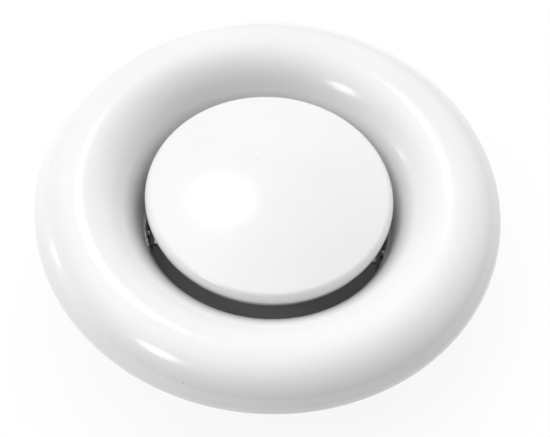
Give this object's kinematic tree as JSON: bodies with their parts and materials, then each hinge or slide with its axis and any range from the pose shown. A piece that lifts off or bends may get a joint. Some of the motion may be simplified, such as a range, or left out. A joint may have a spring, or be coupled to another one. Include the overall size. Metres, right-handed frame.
{
  "type": "ceiling disc valve",
  "caption": "Round ceiling air valve: a fat rolled white metal ring around a flat screw-adjusted disc, with a spring-held mounting collar behind.",
  "frame": {"origin": "on the valve's axis in the ceiling plane: the back of the collar's flange and the ring's rolled edge lie at z = 0", "axes": "+Z along the valve's axis, out of its face; on a ceiling +Z points down into the room; +X along the crossbar"},
  "size_m": [0.138, 0.138, 0.0444],
  "materials": {
    "white_paint": "gloss",
    "galvanised": "galvanised, satin",
    "zinc": "zinc plated",
    "spring": "tempered spring strip",
    "foam": "closed-cell foam, matt",
    "nylon": "natural nylon, matt"
  },
  "bodies": {
    "collar": {"collar_tube": "galvanised", "collar_flange": "galvanised"},
    "valve": {"valve_ring": "white_paint", "foam_gasket": "foam", "crossbar": "galvanised", "crossbar_rivets": "zinc", "spindle_bush": "zinc", "spring_rivets": "zinc", "retaining_spring_1": "spring", "retaining_spring_2": "spring", "retaining_spring_3": "spring"},
    "stop_washer": {"stop_washer": "nylon"},
    "disc": {"disc_face": "white_paint", "disc_back_pan": "white_paint", "disc_hub": "zinc", "hub_rivets": "zinc", "hub_nut": "zinc", "sound_pad": "foam", "spindle": "zinc", "spindle_stop_clip": "spring"},
    "lock_washer": {"lock_washer": "zinc"},
    "lock_nut": {"lock_nut": "zinc"}
  },
  "joints": [
    {"name": "valve_pull_out", "type": "slide", "parent": "collar", "child": "valve", "axis": [0, 0, 1], "range_m": [0, 0.035]},
    {"name": "disc_travel", "type": "slide", "parent": "valve", "child": "stop_washer", "axis": [0, 0, 1], "range_m": [-0.0098, 0.005]},
    {"name": "disc_turn", "type": "hinge", "parent": "stop_washer", "child": "disc", "pos_m": [0, 0, 0], "axis": [0, 0, 1], "range_deg": [-3528, 1800]},
    {"name": "lock_nut_travel", "type": "slide", "parent": "valve", "child": "lock_washer", "axis": [0, 0, -1], "range_m": [0, 0.0025]},
    {"name": "lock_nut_turn", "type": "hinge", "parent": "lock_washer", "child": "lock_nut", "pos_m": [0, 0, -0.02025], "axis": [0, 0, -1], "range_deg": [0, 900]}
  ],
  "couplings": [
    {"joint": "disc_travel", "follows": "disc_turn", "m_per_rad": 0.00015915},
    {"joint": "lock_nut_turn", "follows": "lock_nut_travel", "rad_per_m": 6283.2}
  ]
}
